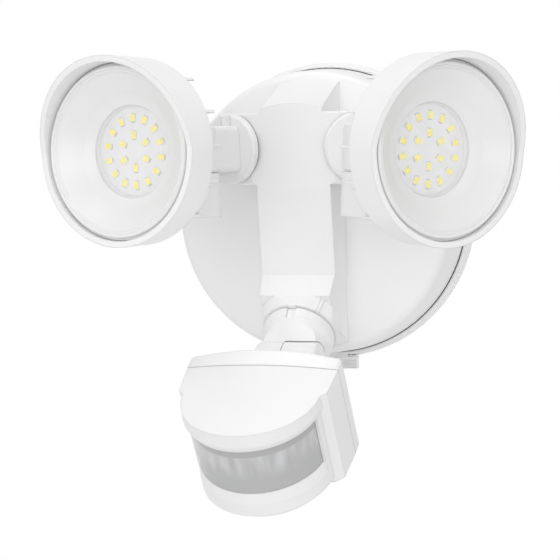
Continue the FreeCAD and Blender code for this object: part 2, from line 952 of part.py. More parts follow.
def drum_lathe(profile):
    """Solid of a (radius, height) outline turned about the drum's upright axis."""
    points = [Vector(radius, -sensor_drum_centre, height) for radius, height in profile]
    outline = Part.makePolygon(points + points[:1])
    return Part.Face(outline).revolve(Vector(0, -sensor_drum_centre, 0), Vector(0, 0, 1), 360)


def sensor_drum():
    """Round front: visor over the window, and chin under it."""
    return drum_lathe([
        (0, sensor_bottom),
        (chin_foot_radius, sensor_bottom),
        (chin_radius, sensor_bottom + chin_foot_height),
        (chin_radius, window_bottom - chin_bevel),
        (chin_lip_radius, window_bottom),
        (window_radius, window_bottom),
        (window_radius, window_top),
        (visor_lip_radius, window_top),
        (visor_radius, window_top + visor_lip_height),
        (visor_top_radius, sensor_top + 1),
        (0, sensor_top + 1),
    ])


def window_jambs():
    """Upright posts of the window frame, from the chin to the visor."""
    ring = drum_lathe([
        (window_radius - window_thickness, window_bottom - chin_bevel),
        (chin_radius, window_bottom - chin_bevel),
        (chin_radius, window_top),
        (window_radius - window_thickness, window_top),
    ])
    middle = window_sector(0, window_radius + trim_margin, window_bottom - 2 * chin_bevel, window_top + 1,
                           window_half_angle)
    return ring.cut(middle)


def window_sector(inner, outer, bottom, top, half_angle):
    """Curved slab in front of the drum's axis, between two radii and two heights."""
    ring = drum_lathe([(inner, bottom), (outer, bottom), (outer, top), (inner, top)])
    reach = 3 * window_radius
    x = reach * sin(radians(half_angle))
    forward = sensor_drum_centre + reach * cos(radians(half_angle))
    far = sensor_drum_centre + reach
    outline = [(0, sensor_drum_centre), (x, forward), (reach, far), (-reach, far), (-x, forward)]
    return ring.common(plan_prism(outline, bottom - 1, top + 1))


def dial_centres():
    return [-dial_spacing, 0.0, dial_spacing]


def sensor_housing():
    """Front shell of the sensor: cheeks, vaulted roof, visor, window frame and chin."""
    cheeks = plan_prism(sensor_outline(0), sensor_bottom, sensor_top + 1)
    outer = fused(cheeks, sensor_drum(), window_jambs()).common(sensor_roof(0))
    floor = sensor_bottom + sensor_wall
    inner_radius = window_radius - window_thickness - sensor_wall
    inner_drum = drum_lathe([
        (0, floor),
        (inner_radius - sensor_wall, floor),
        (inner_radius, floor + sensor_wall),
        (inner_radius, sensor_top),
        (0, sensor_top),
    ])
    inner_cheeks = plan_prism(sensor_outline(sensor_wall), floor, sensor_top)
    hollow = inner_cheeks.fuse(inner_drum).common(sensor_roof(sensor_wall))
    reach = 2 * sensor_half_width
    behind = block((-reach, reach), (0, sensor_seam), (-reach, reach))
    rebate = window_sector(window_radius - window_thickness, window_radius + trim_margin,
                           window_bottom, window_top, window_half_angle)
    low = window_bottom + window_frame
    high = window_top - window_frame
    opening = window_sector(inner_radius - 1, window_radius, low, high, window_half_angle - frame_angle)
    dial_holes = []
    for x in dial_centres():
        hole_top = sensor_bottom + 2 * sensor_wall
        dial_holes.append(post(dial_radius + moving_gap, x, dial_forward, sensor_bottom - 1, hole_top))
    return outer.cut([hollow, behind, rebate, opening] + dial_holes)


def pir_window():
    """Curved lens of the motion detector, in the housing's rebate."""
    inner = window_radius - window_thickness
    return window_sector(inner, window_radius, window_bottom, window_top, window_half_angle)


def sensor_rear_cover():
    """Rear shell of the sensor, with the lug and the right hinge barrel."""
    front = sensor_seam - moving_gap
    half = sensor_half_width
    outline = mirrored([
        (half - rear_cover_edge, sensor_back),
        (half, sensor_back + rear_cover_edge),
        (half, front),
    ])
    slab = plan_prism(outline, sensor_bottom, sensor_top + 1).common(sensor_roof(0))
    edge = rear_cover_edge
    side_top = sensor_top - sensor_half_width ** 2 / (2 * sensor_roof_radius)
    top_cut = side_prism([
        (sensor_back, sensor_top + edge),
        (sensor_back, side_top - edge),
        (sensor_back + 3 * edge, sensor_top + edge),
    ], 2 * half)
    foot_cut = side_prism([
        (sensor_back, sensor_bottom),
        (sensor_back, sensor_bottom + edge),
        (sensor_back + edge, sensor_bottom),
    ], 2 * half)
    shell = slab.cut([top_cut, foot_cut])
    inset = sensor_wall + edge
    room = block((-half + inset, half - inset), (sensor_back + inset, front),
                 (sensor_bottom + inset, side_top - inset))
    return fused(shell.cut(room), sensor_lug()).cut(sensor_bolt_hole())


def sensor_lug():
    """Right barrel of the tilt hinge and the web that joins it to the rear cover."""
    left = sensor_barrel_split
    right = sensor_barrel_half_length
    barrel = sensor_barrel(left, right)
    web_right = right - sensor_barrel_round
    web = block((left, web_right), (0, sensor_back + 1), (-sensor_web_half_height, sensor_web_half_height))
    return fused(barrel, web)


def sensor_bolt_hole():
    start = Vector(-2 * sensor_barrel_half_length, 0, 0)
    return Part.makeCylinder(tilt_bolt_radius, 4 * sensor_barrel_half_length, start, Vector(1, 0, 0))


def tilt_bolt():
    """Cross bolt of the sensor's tilt hinge."""
    left = -sensor_barrel_half_length + moving_gap
    length = 2 * sensor_barrel_half_length - 2 * moving_gap
    return Part.makeCylinder(tilt_bolt_radius, length, Vector(left, 0, 0), Vector(1, 0, 0))


def sensor_board():
    """Upright board held between the housing's cheeks."""
    half = cheek_half_width() - sensor_wall - moving_gap
    back = sensor_board_front - sensor_board_thickness
    bottom = sensor_bottom + sensor_wall + moving_gap
    top = sensor_top - 2 * sensor_wall
    board = block((-half, half), (back, sensor_board_front), (bottom, top))
    return board.common(sensor_roof(sensor_wall + moving_gap))


def pir_detector():
    """Metal can of the motion detector, on the board's front."""
    middle = (window_top + window_bottom) / 2
    start = Vector(0, -sensor_board_front, middle)
    can = Part.makeCylinder(detector_radius, detector_height, start, Vector(0, -1, 0))
    flange = Part.makeCylinder(detector_radius + 0.6, 0.6, start, Vector(0, -1, 0))
    return fused(can, flange)


def sensor_dial(x):
    """Slotted setting dial in the underside."""
    bottom = sensor_bottom - dial_proud
    knob = post(dial_radius, x, dial_forward, bottom, bottom + dial_height)
    slot = block((x - dial_radius, x + dial_radius),
                 (dial_forward - dial_slot_width / 2, dial_forward + dial_slot_width / 2),
                 (bottom, bottom + dial_slot_depth))
    return knob.cut(slot)


def sensor_screws():
    """Two screws that hold the rear cover, their heads on its back."""
    screws = []
    across = sensor_half_width - sensor_screw_inset
    for x in (-across, across):
        start = Vector(x, -sensor_back, 0)
        screws.append(Part.makeCylinder(sensor_screw_radius, sensor_screw_head, start, Vector(0, 1, 0)))
    return Part.makeCompound(screws)


def placed(shape, placement):
    copy = shape.copy()
    copy.Placement = placement * copy.Placement
    return copy


def base_nodes():
    return {
        "wall_plate": wall_plate(),
        "plate_gasket": plate_gasket(),
        "cover_seal": cover_seal(),
        "front_cover": front_cover(),
        "release_latch": release_latch(),
        "driver_board": driver_board(),
        "driver_screws": driver_screws(),
        "driver_transformer": driver_transformer(),
        "driver_capacitors": driver_capacitors(),
        "terminal_block": terminal_block(),
    }


def lamp_nodes(name, side):
    swivel_at = swivel_placement(side)
    head_at = head_placement(side)
    return {
        name + "_swivel": placed(swivel(), swivel_at),
        name + "_swivel_nut": placed(clamp_nut(), swivel_at),
        name + "_housing": placed(lamp_housing(), head_at),
        name + "_reflector": placed(reflector(), head_at),
        name + "_lens": placed(lamp_lens(), head_at),
        name + "_led_board": placed(led_board(), head_at),
        name + "_led_chips": placed(led_chips(), head_at),
        name + "_hinge_bolt": placed(hinge_bolt(), head_at),
        name + "_hinge_nut": placed(hinge_nut(), head_at),
    }


def sensor_nodes():
    collar_at = collar_placement()
    sensor_at = sensor_placement()
    nodes = {
        "sensor_collar": placed(collar(), collar_at),
        "collar_nut": placed(clamp_nut(), collar_at),
        "sensor_housing": placed(sensor_housing(), sensor_at),
        "sensor_rear_cover": placed(sensor_rear_cover(), sensor_at),
        "pir_window": placed(pir_window(), sensor_at),
        "sensor_board": placed(sensor_board(), sensor_at),
        "pir_detector": placed(pir_detector(), sensor_at),
        "tilt_bolt": placed(tilt_bolt(), sensor_at),
        "sensor_screws": placed(sensor_screws(), sensor_at),
    }
    for name, x in zip(("range_dial", "time_dial", "dusk_dial"), dial_centres()):
        nodes[name] = placed(sensor_dial(x), sensor_at)
    return nodes


def main():
    os.makedirs("parts", exist_ok=True)
    nodes = base_nodes()
    nodes.update(lamp_nodes("left", -1))
    nodes.update(lamp_nodes("right", 1))
    nodes.update(sensor_nodes())
    for name, shape in nodes.items():
        shape.exportStep("parts/" + name + ".step")
    print(len(nodes), "nodes")
    return nodes


if __name__ == "__main__":
    main()
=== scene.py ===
import json
import math

import bmesh
import bpy
from mathutils import Matrix, Vector


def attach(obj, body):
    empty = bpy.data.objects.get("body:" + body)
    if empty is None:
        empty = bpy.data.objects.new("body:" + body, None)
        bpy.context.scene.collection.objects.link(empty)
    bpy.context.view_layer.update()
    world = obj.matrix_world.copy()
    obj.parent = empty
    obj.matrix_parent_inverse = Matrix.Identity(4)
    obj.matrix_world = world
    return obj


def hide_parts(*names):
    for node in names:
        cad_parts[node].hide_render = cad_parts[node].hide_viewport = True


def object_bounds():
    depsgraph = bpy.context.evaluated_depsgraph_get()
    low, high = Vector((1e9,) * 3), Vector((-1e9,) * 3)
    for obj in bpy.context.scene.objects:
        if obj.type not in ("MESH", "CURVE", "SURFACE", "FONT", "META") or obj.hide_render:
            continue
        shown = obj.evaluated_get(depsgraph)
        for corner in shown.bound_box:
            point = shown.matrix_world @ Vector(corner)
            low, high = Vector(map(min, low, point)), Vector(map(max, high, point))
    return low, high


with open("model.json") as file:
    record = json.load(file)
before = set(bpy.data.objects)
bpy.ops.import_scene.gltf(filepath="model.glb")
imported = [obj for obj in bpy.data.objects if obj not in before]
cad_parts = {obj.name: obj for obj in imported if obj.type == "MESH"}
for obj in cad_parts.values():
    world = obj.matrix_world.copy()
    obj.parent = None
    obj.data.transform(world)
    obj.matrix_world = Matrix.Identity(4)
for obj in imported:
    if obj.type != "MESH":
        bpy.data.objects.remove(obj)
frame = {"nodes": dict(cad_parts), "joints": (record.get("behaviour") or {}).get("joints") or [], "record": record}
cad_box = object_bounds()

joints = {joint["name"]: joint for joint in frame["joints"]}

MM = 0.001
OUTWARD = Vector((0.0, -1.0, 0.0))
DOWN = Vector((0.0, 0.0, -1.0))

# Camera, fitted to the photograph: angles in degrees, places in metres, lens and sensor in millimetres
CAMERA_AZIMUTH = 18.2
CAMERA_ELEVATION = 3.8
CAMERA_ROLL = -1.13
CAMERA_DISTANCE = 1.0475
CAMERA_TARGET = Vector((-0.027, 0.0, -0.0335))
CAMERA_LENS = 139.436
CAMERA_SENSOR = 36.0

# Stage
FLOOR_DROP = 0.16
FLOOR_TONE = 0.85
STAGE_REACH = 6.0

# Lamps of the studio: name, power, size and place; they all look at one point
LAMPS = (
    ("top", 13.5, 1.8, (0.0, -0.5, 1.9)),
    ("left", 3.0, 1.6, (-1.5, -1.1, 0.55)),
    ("front", 8.8, 1.4, (0.1, -1.8, 0.15)),
    ("right", 5.2, 1.6, (1.6, -0.9, 0.3)),
)
LAMP_AIM = Vector((0.0, -0.06, 0.0))
WORLD_LEVEL = 0.52

# Samples of a shader's soft edge
EDGE_SAMPLES = 4

# Moulded materials: two close tones, lowest and highest roughness, and what isn't the usual grain and edge
MOULDED = {
    "white_plastic": ((244, 244, 244), (241, 241, 241), 0.34, 0.42, {}),
    "reflector_white": ((238, 238, 238), (235, 235, 235), 0.2, 0.26,
                        {"grain_depth": 0.004 * MM, "edge": 0.2 * MM}),
    "white_crisp": ((244, 244, 244), (241, 241, 241), 0.34, 0.42, {"edge": 0.12 * MM}),
    # Grey of the strip that paints the shade in the gap between the sensor's shells
    "gap_shade_grey": ((166, 166, 168), (154, 154, 156), 0.5, 0.65, {"edge": 0}),
    "nut_plastic": ((214, 214, 212), (206, 206, 204), 0.4, 0.5, {}),
    "dial_grey": ((120, 122, 126), (110, 112, 116), 0.4, 0.5, {}),
    "terminal_plastic": ((60, 120, 84), (54, 112, 78), 0.38, 0.48, {}),
    "transformer_tape": ((222, 190, 60), (210, 178, 54), 0.3, 0.42, {}),
    "capacitor_sleeve": ((34, 38, 58), (30, 34, 52), 0.22, 0.32, {}),
    "seal_rubber": ((46, 46, 48), (38, 38, 40), 0.6, 0.75, {}),
    "foam_grey": ((62, 62, 64), (50, 50, 52), 0.8, 0.92, {"grain": 900.0, "grain_depth": 0.12 * MM}),
}

# White nodes whose steps are finer than the soft edge of the other mouldings
CRISP_NODES = ("wall_plate", "release_latch")

# Meshes: weld distance, slice in which a screw head is measured, angle in degrees from which an edge is
# sharp, and the decimals of a metre that an outline keeps
WELD = 0.01 * MM
HEAD_SLICE = 0.3 * MM
SHARP_ANGLE = 30
OUTLINE_DIGITS = 6

# Diode packages in millimetres: half length, half width and height of each ring of the moulded body
PACKAGE_RINGS = (
    (1.75, 1.40, 0.00),
    (1.70, 1.35, 0.60),
    (1.66, 1.31, 0.70),
    (1.60, 1.25, 0.70),
    (1.50, 1.15, 0.52),
)
PACKAGE_CORNER = 0.22
CORNER_STEPS = 4
PHOSPHOR_RINGS = (
    (1.58, 1.23, 0.62),
    (1.05, 0.80, 0.66),
    (0.45, 0.34, 0.67),
)
TERMINAL_ROOT = 0.3
TERMINAL_REACH = 0.35
TERMINAL_SHOULDER = 0.02
TERMINAL_HALF_WIDTH = 1.0
TERMINAL_HEIGHT = 0.16

# Window of the sensor: half its arc in degrees, its lens columns, the steps in each, and its rows
WINDOW_HALF_ANGLE = 77.5
WINDOW_COLUMNS = 15
WINDOW_STEPS = 8
WINDOW_ROWS = 30
WINDOW_RIM = 0.9 * MM
WINDOW_THICKNESS = 1.2 * MM
PILLOW_DEPTH = 0.10 * MM
RIM_STEP = 0.22 * MM

# Zones of the window, as shares of its height from the foot: the line from which the lenses begin, how far
# their bands fade below and above it, and the plain strips at the top and foot; the top strip is painted
# shade under the visor
LENS_ZONE = 0.42
ZONE_FADE = (0.14, 0.16)
SHADE_START = 0.80
FOOT_SHADE = 0.05
SHADE_FADE = 0.02

# Dark line at each end of the window, as a share of its width, then its bands and tones
END_LINE = 0.012
BAND_STRETCH = (17.0, 1.2, 1.0)
BAND_DETAIL = 1.5
BAND_CONTRAST = (0.34, 0.66)
BAND_TONES = ((186, 186, 187), (210, 210, 211))
# This tone paints the visor's shade at the top of the window and also darkens the strip at its foot
PAINTED_SHADE_AND_FOOT_TONE = (181, 181, 182)
LINE_TONE = (140, 140, 141)

# Turned rings: radius and height in millimetres round each closed outline
RING_STEPS = 128
BOWL_RIM = ((35.4, 10.9), (35.2, 13.2), (35.5, 13.7), (36.0, 13.9), (36.5, 13.75), (36.9, 13.3), (37.0, 11.9),
            (38.0, 11.6), (38.0, 10.9))
BOWL_FOOT = ((20.12, 3.12), (20.25, 3.32), (21.0, 3.62), (22.0, 4.05), (23.2, 4.62), (24.6, 5.42),
             (25.4, 5.97), (25.0, 5.2), (22.5, 3.5), (21.2, 2.5), (20.12, 2.27))
LENS_SPACER = ((19.2, 0.68), (19.7, 1.2), (20.28, 2.24), (20.28, 0.68))
SWIVEL_SEAL = ((13.6, 0.05), (15.95, 0.05), (16.08, 0.16), (16.08, 0.34), (15.95, 0.45), (13.6, 0.45))
COVER_SEAL = ((66.0, 6.35), (67.45, 6.35), (67.55, 6.5), (67.55, 6.8), (67.45, 6.95), (66.0, 6.95))
PLATE_RIM = ((67.8, 0.05), (70.0, 0.05), (70.1, 0.15), (70.1, 1.85), (70.03, 2.03), (69.85, 2.1),
             (69.65, 2.1), (69.5, 2.25), (69.5, 3.85), (69.43, 4.03), (69.25, 4.1), (69.05, 4.1),
             (68.9, 4.25), (68.9, 5.85), (68.83, 6.03), (68.65, 6.1), (68.45, 6.1), (68.3, 6.2),
             (68.3, 6.34), (67.8, 6.34))

# Angle in degrees that the plate's rim leaves open, and the edge of the lens, from its back to its front
PLATE_RIM_GAP = 15.0
LENS_DISC = ((19.95, 2.27), (20.1, 2.4), (20.1, 3.05), (19.9, 3.24))

# Strip between the sensor's two shells: a dark sheet that paints the shade in the gap between them
GAP_SHADE_INSET = 0.06 * MM
GAP_SHADE_DEPTH = 1.2 * MM

# Cross recess of a screw: its length and width are shares of the head's radius, and the taper is the share of
# both that is left at the bottom
RECESS_DEPTH = 0.8 * MM
RECESS_OVERSHOOT = 0.2 * MM
RECESS_LENGTH = 0.55
RECESS_WIDTH = 0.14
RECESS_TAPER = 0.7

# Crown of the sensor's rear shell: its rise above the roof, and in each row the reach from the hinge in
# millimetres and the share of the rise
CROWN_RISE = 3.0 * MM
CROWN_HALF_WIDTH = 33.6 * MM
CROWN_ROOT = 0.4 * MM
CROWN_COLUMNS = 48
CROWN_ROWS = ((31.2, 0.0), (29.4, 0.30), (27.4, 0.62), (25.6, 0.88), (24.7, 0.98), (24.2, 0.92), (23.9, 0.70))
ROOF_TOP = 24.5 * MM
ROOF_RADIUS = 297.0 * MM


def linear(value):
    """Linear value of an sRGB level from 0 to 255."""
    level = value / 255
    return level / 12.92 if level <= 0.04045 else ((level + 0.055) / 1.055) ** 2.4


def colour(red, green, blue):
    """Colour of an sRGB triple, for a shader."""
    return (linear(red), linear(green), linear(blue), 1.0)


# Camera, lamps and stage


def add_camera():
    """Camera at the photograph's place, which leans by the roll."""
    azimuth, elevation, roll = (math.radians(v) for v in (CAMERA_AZIMUTH, CAMERA_ELEVATION, CAMERA_ROLL))
    flat = math.cos(elevation)
    back = Vector((math.sin(azimuth) * flat, -math.cos(azimuth) * flat, math.sin(elevation)))
    level = Vector((math.cos(azimuth), math.sin(azimuth), 0.0))
    upright = back.cross(level)
    right = level * math.cos(roll) + upright * math.sin(roll)
    up = upright * math.cos(roll) - level * math.sin(roll)
    camera = bpy.data.objects.new("camera", bpy.data.cameras.new("camera"))
    camera.data.sensor_width = CAMERA_SENSOR
    camera.data.lens = CAMERA_LENS
    turn = Matrix((right, up, back)).transposed().to_4x4()
    camera.matrix_world = Matrix.Translation(CAMERA_TARGET + back * CAMERA_DISTANCE) @ turn
    bpy.context.scene.collection.objects.link(camera)
    bpy.context.scene.camera = camera


def add_lamp(name, power, size, place):
    lamp = bpy.data.lights.new(name, "AREA")
    lamp.energy = power
    lamp.shape = "DISK"
    lamp.size = size
    holder = bpy.data.objects.new(name, lamp)
    holder.location = place
    aim = LAMP_AIM - Vector(place)
    holder.rotation_euler = aim.to_track_quat("-Z", "Y").to_euler()
    bpy.context.scene.collection.objects.link(holder)


def joined(tree, operation, first, second):
    """One value made of two by a Math node."""
    node = tree.nodes.new("ShaderNodeMath")
    node.operation = operation
    tree.links.new(first, node.inputs[0])
    tree.links.new(second, node.inputs[1])
    return node.outputs[0]


def background_factor(tree):
    """1 for rays that come from the camera, a reflection or glass."""
    path = tree.nodes.new("ShaderNodeLightPath")
    seen = joined(tree, "MAXIMUM", path.outputs["Is Camera Ray"], path.outputs["Is Transmission Ray"])
    return joined(tree, "MAXIMUM", seen, path.outputs["Is Glossy Ray"])


def set_world():
    world = bpy.data.worlds.new("studio")
    world.use_nodes = True
    bpy.context.scene.world = world
    tree = world.node_tree
    tree.nodes.clear()
    level = tree.nodes.new("ShaderNodeBackground")
    level.inputs["Color"].default_value = (1, 1, 1, 1)
    level.inputs["Strength"].default_value = WORLD_LEVEL
    seen = tree.nodes.new("ShaderNodeBackground")
    seen.inputs["Color"].default_value = (1, 1, 1, 1)
    seen.inputs["Strength"].default_value = 1.0
    mix = tree.nodes.new("ShaderNodeMixShader")
    out = tree.nodes.new("ShaderNodeOutputWorld")
    tree.links.new(background_factor(tree), mix.inputs[0])
    tree.links.new(level.outputs[0], mix.inputs[1])
    tree.links.new(seen.outputs[0], mix.inputs[2])
    tree.links.new(mix.outputs[0], out.inputs["Surface"])


def add_floor():
    """Plain pale floor that reads white to the camera and keeps a faint shadow."""
    low = cad_box[0][2] - FLOOR_DROP
    mesh = bpy.data.meshes.new("floor")
    reach = STAGE_REACH
    corners = [(-reach, -reach, low), (reach, -reach, low), (reach, reach, low), (-reach, reach, low)]
    mesh.from_pydata(corners, [], [(0, 1, 2, 3)])
    floor = bpy.data.objects.new("floor", mesh)
    bpy.context.scene.collection.objects.link(floor)
    material = bpy.data.materials.new("floor_white")
    material.use_nodes = True
    tree = material.node_tree
    tree.nodes.clear()
    matt = tree.nodes.new("ShaderNodeBsdfDiffuse")
    matt.inputs["Color"].default_value = (FLOOR_TONE, FLOOR_TONE, FLOOR_TONE, 1)
    glow = tree.nodes.new("ShaderNodeEmission")
    glow.inputs["Strength"].default_value = 1.0
    mix = tree.nodes.new("ShaderNodeMixShader")
    out = tree.nodes.new("ShaderNodeOutputMaterial")
    tree.links.new(background_factor(tree), mix.inputs[0])
    tree.links.new(matt.outputs[0], mix.inputs[1])
    tree.links.new(glow.outputs[0], mix.inputs[2])
    tree.links.new(mix.outputs[0], out.inputs["Surface"])
    mesh.materials.append(material)


# Materials


def new_material(name):
    material = bpy.data.materials.new(name)
    material.use_nodes = True
    tree = material.node_tree
    shader = tree.nodes["Principled BSDF"]
    return material, tree, shader


def noise(tree, scale, detail=2.0):
    place = tree.nodes.new("ShaderNodeTexCoord")
    pattern = tree.nodes.new("ShaderNodeTexNoise")
    pattern.inputs["Scale"].default_value = scale
    pattern.inputs["Detail"].default_value = detail
    tree.links.new(place.outputs["Object"], pattern.inputs["Vector"])
    return pattern.outputs["Fac"]


def ramp(tree, source, low=0.0, high=1.0, start=0.35, end=0.65):
    """Value that goes from low to high as its source goes from start to end."""
    node = tree.nodes.new("ShaderNodeMapRange")
    node.inputs["From Min"].default_value = start
    node.inputs["From Max"].default_value = end
    node.inputs["To Min"].default_value = low
    node.inputs["To Max"].default_value = high
    tree.links.new(source, node.inputs["Value"])
    return node.outputs["Result"]


def tint(tree, source, first, second):
    """Colour that drifts between two close tones."""
    node = tree.nodes.new("ShaderNodeMix")
    node.data_type = "RGBA"
    node.inputs["A"].default_value = first
    node.inputs["B"].default_value = second
    tree.links.new(source, node.inputs["Factor"])
    return node.outputs["Result"]


def over(tree, factor, under, tone):
    """Lays one plain tone over a colour, where the factor is 1."""
    node = tree.nodes.new("ShaderNodeMix")
    node.data_type = "RGBA"
    node.inputs["B"].default_value = tone
    tree.links.new(factor, node.inputs["Factor"])
    tree.links.new(under, node.inputs["A"])
    return node.outputs["Result"]


def bump(tree, shader, height, strength, distance, normal=None):
    node = tree.nodes.new("ShaderNodeBump")
    node.inputs["Strength"].default_value = strength
    node.inputs["Distance"].default_value = distance
    tree.links.new(height, node.inputs["Height"])
    if normal is not None:
        tree.links.new(normal, node.inputs["Normal"])
    tree.links.new(node.outputs["Normal"], shader.inputs["Normal"])


def rounded_edges(tree, radius):
    node = tree.nodes.new("ShaderNodeBevel")
    node.samples = EDGE_SAMPLES
    node.inputs["Radius"].default_value = radius
    return node.outputs["Normal"]


def moulded(name, light, dark, rough_low, rough_high, grain=2600.0, grain_depth=0.005 * MM, edge=0.8 * MM):
    """Moulded plastic: a fine tooled grain, slow drifts of tone and soft edges."""
    material, tree, shader = new_material(name)
    drift = ramp(tree, noise(tree, scale=14.0))
    tree.links.new(tint(tree, drift, light, dark), shader.inputs["Base Color"])
    wear = noise(tree, scale=60.0, detail=4.0)
    tree.links.new(ramp(tree, wear, rough_low, rough_high), shader.inputs["Roughness"])
    normal = rounded_edges(tree, edge) if edge else None
    bump(tree, shader, noise(tree, grain), strength=0.25, distance=grain_depth, normal=normal)
    return material


def make_materials():
    made = {}
    for name, (light, dark, rough_low, rough_high, details) in MOULDED.items():
        made[name] = moulded(name, colour(*light), colour(*dark), rough_low, rough_high, **details)
    made["board_green"] = board("board_green", colour(28, 104, 60), colour(20, 88, 50))
    made["board_white"] = board("board_white", colour(241, 241, 242), colour(237, 237, 239))
    made["steel"] = metal("steel", colour(196, 196, 198), 0.26, 0.38)
    made["detector_metal"] = metal("detector_metal", colour(204, 202, 192), 0.2, 0.3)
    made["clear_lens"] = clear_lens()
    made["led_phosphor"] = phosphor()
    made["window_grey"] = window_film()
    return made


def board(name, light, dark):
    """Solder mask over copper tracks: a slight weave and a soft gloss."""
    material, tree, shader = new_material(name)
    drift = ramp(tree, noise(tree, scale=220.0))
    tree.links.new(tint(tree, drift, light, dark), shader.inputs["Base Color"])
    gloss = ramp(tree, noise(tree, scale=400.0), low=0.32, high=0.44)
    tree.links.new(gloss, shader.inputs["Roughness"])
    bump(tree, shader, noise(tree, scale=900.0), strength=0.2, distance=0.03 * MM)
    return material


def metal(name, tone, rough_low, rough_high):
    material, tree, shader = new_material(name)
    shader.inputs["Base Color"].default_value = tone
    shader.inputs["Metallic"].default_value = 1.0
    gloss = ramp(tree, noise(tree, scale=700.0), rough_low, rough_high)
    tree.links.new(gloss, shader.inputs["Roughness"])
    edges = rounded_edges(tree, radius=0.2 * MM)
    bump(tree, shader, noise(tree, scale=1500.0), strength=0.2, distance=0.02 * MM, normal=edges)
    return material


def clear_lens():
    material, tree, shader = new_material("clear_lens")
    shader.inputs["Base Color"].default_value = (1, 1, 1, 1)
    shader.inputs["Roughness"].default_value = 0.04
    shader.inputs["Alpha"].default_value = 0.06
    shader.inputs["IOR"].default_value = 1.45
    bump(tree, shader, noise(tree, scale=40.0), strength=0.1, distance=0.02 * MM)
    return material


def phosphor():
    material, tree, shader = new_material("led_phosphor")
    drift = ramp(tree, noise(tree, scale=900.0))
    tone = tint(tree, drift, colour(255, 240, 150), colour(252, 230, 120))
    tree.links.new(tone, shader.inputs["Base Color"])
    shader.inputs["Roughness"].default_value = 0.35
    shader.inputs["Subsurface Weight"].default_value = 0.2
    shader.inputs["Subsurface Scale"].default_value = 0.5 * MM
    # Painted glow: a faint emission lights up the phosphor a little, though the diodes are not lit
    shader.inputs["Emission Color"].default_value = colour(255, 232, 140)
    shader.inputs["Emission Strength"].default_value = 0.12
    bump(tree, shader, noise(tree, scale=3000.0), strength=0.3, distance=0.02 * MM)
    return material


def window_film():
    """Grey film with soft upright bands over its lens columns, which fade out below them, a painted shade strip at
    the top under the visor, a darker strip at the foot and a dark line at each end.
    """
    material, tree, shader = new_material("window_grey")
    place = tree.nodes.new("ShaderNodeTexCoord")
    stretch = tree.nodes.new("ShaderNodeMapping")
    stretch.inputs["Scale"].default_value = BAND_STRETCH
    bands = tree.nodes.new("ShaderNodeTexNoise")
    bands.inputs["Scale"].default_value = 1.0
    bands.inputs["Detail"].default_value = BAND_DETAIL
    spot = tree.nodes.new("ShaderNodeSeparateXYZ")
    tree.links.new(place.outputs["UV"], stretch.inputs["Vector"])
    tree.links.new(stretch.outputs["Vector"], bands.inputs["Vector"])
    tree.links.new(place.outputs["UV"], spot.inputs["Vector"])
    across, height = spot.outputs["X"], spot.outputs["Y"]

    below, above = ZONE_FADE
    zone = ramp(tree, height, start=LENS_ZONE - below, end=LENS_ZONE + above)
    weak, strong = BAND_CONTRAST
    pattern = ramp(tree, bands.outputs["Fac"], start=weak, end=strong)
    dark, light = BAND_TONES
    film = tint(tree, joined(tree, "MULTIPLY", pattern, zone), colour(*dark), colour(*light))

    # Painted shade along the top, where the visor shades the window, and a darker strip along the foot
    top = ramp(tree, height, start=SHADE_START, end=SHADE_START + SHADE_FADE)
    foot = ramp(tree, height, low=1.0, high=0.0, start=FOOT_SHADE - SHADE_FADE, end=FOOT_SHADE)
    film = over(tree, joined(tree, "MAXIMUM", top, foot), film, colour(*PAINTED_SHADE_AND_FOOT_TONE))

    near_end = ramp(tree, across, low=1.0, high=0.0, start=0.0, end=END_LINE)
    far_end = ramp(tree, across, start=1 - END_LINE, end=1.0)
    film = over(tree, joined(tree, "MAXIMUM", near_end, far_end), film, colour(*LINE_TONE))

    tree.links.new(film, shader.inputs["Base Color"])
    shader.inputs["Roughness"].default_value = 0.3
    shader.inputs["Subsurface Weight"].default_value = 0.1
    shader.inputs["Subsurface Scale"].default_value = 1.0 * MM
    bump(tree, shader, noise(tree, scale=500.0), strength=0.2, distance=0.03 * MM)
    return material


def dress_cad(materials):
    """Each CAD node takes the material of its slot in the record."""
    slots = {entry["node"]: entry["material_slot"] for entry in frame["record"]["subparts"]}
    for name, node in frame["nodes"].items():
        material = materials["white_crisp" if name in CRISP_NODES else slots[name]]
        node.data.materials.clear()
        node.data.materials.append(material)


# Pieces


def add_piece(name, maker, body, slot, material, *stands_for):
    """Links a new piece made of a bmesh, says what it rides on and hides its CAD nodes; its slot argument is not
    used.
    """
    mesh = bpy.data.meshes.new(name)
    bmesh.ops.recalc_face_normals(maker, faces=maker.faces)
    maker.to_mesh(mesh)
    maker.free()
    mesh.materials.append(material)
    piece = bpy.data.objects.new(name, mesh)
    bpy.context.scene.collection.objects.link(piece)
    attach(piece, body)
    if stands_for:
        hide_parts(*stands_for)
    for face in mesh.polygons:
        face.use_smooth = True
    mesh.set_sharp_from_angle(angle=math.radians(SHARP_ANGLE))
    return piece


def solids(node):
    """The corners of each separate solid of a CAD node."""
    copy = bmesh.new()
    copy.from_mesh(frame["nodes"][node].data)
    bmesh.ops.remove_doubles(copy, verts=copy.verts, dist=WELD)
    waiting = set(copy.verts)
    found = []
    while waiting:
        reached = [waiting.pop()]
        for corner in reached:
            for edge in corner.link_edges:
                other = edge.other_vert(corner)
                if other in waiting:
                    waiting.remove(other)
                    reached.append(other)
        found.append([corner.co.copy() for corner in reached])
    copy.free()
    return found


def middle(corners):
    return sum(corners, Vector()) / len(corners)


def package_frame(corners, board_middle):
    """Matrix of a diode package: long side, short side and the way out of the board, at its foot."""
    first = corners[0]
    near = sorted(corners, key=lambda corner: (corner - first).length)
    out = (near[1] - first).normalized()
    across = (near[2] - first).normalized()
    centre = middle(corners)
    if out.dot(centre - board_middle) < 0:
        out = -out
    along = across.cross(out)
    foot = centre - out * ((near[1] - first).length / 2)
    turn = Matrix((along, across, out)).transposed().to_4x4()
    return Matrix.Translation(foot) @ turn


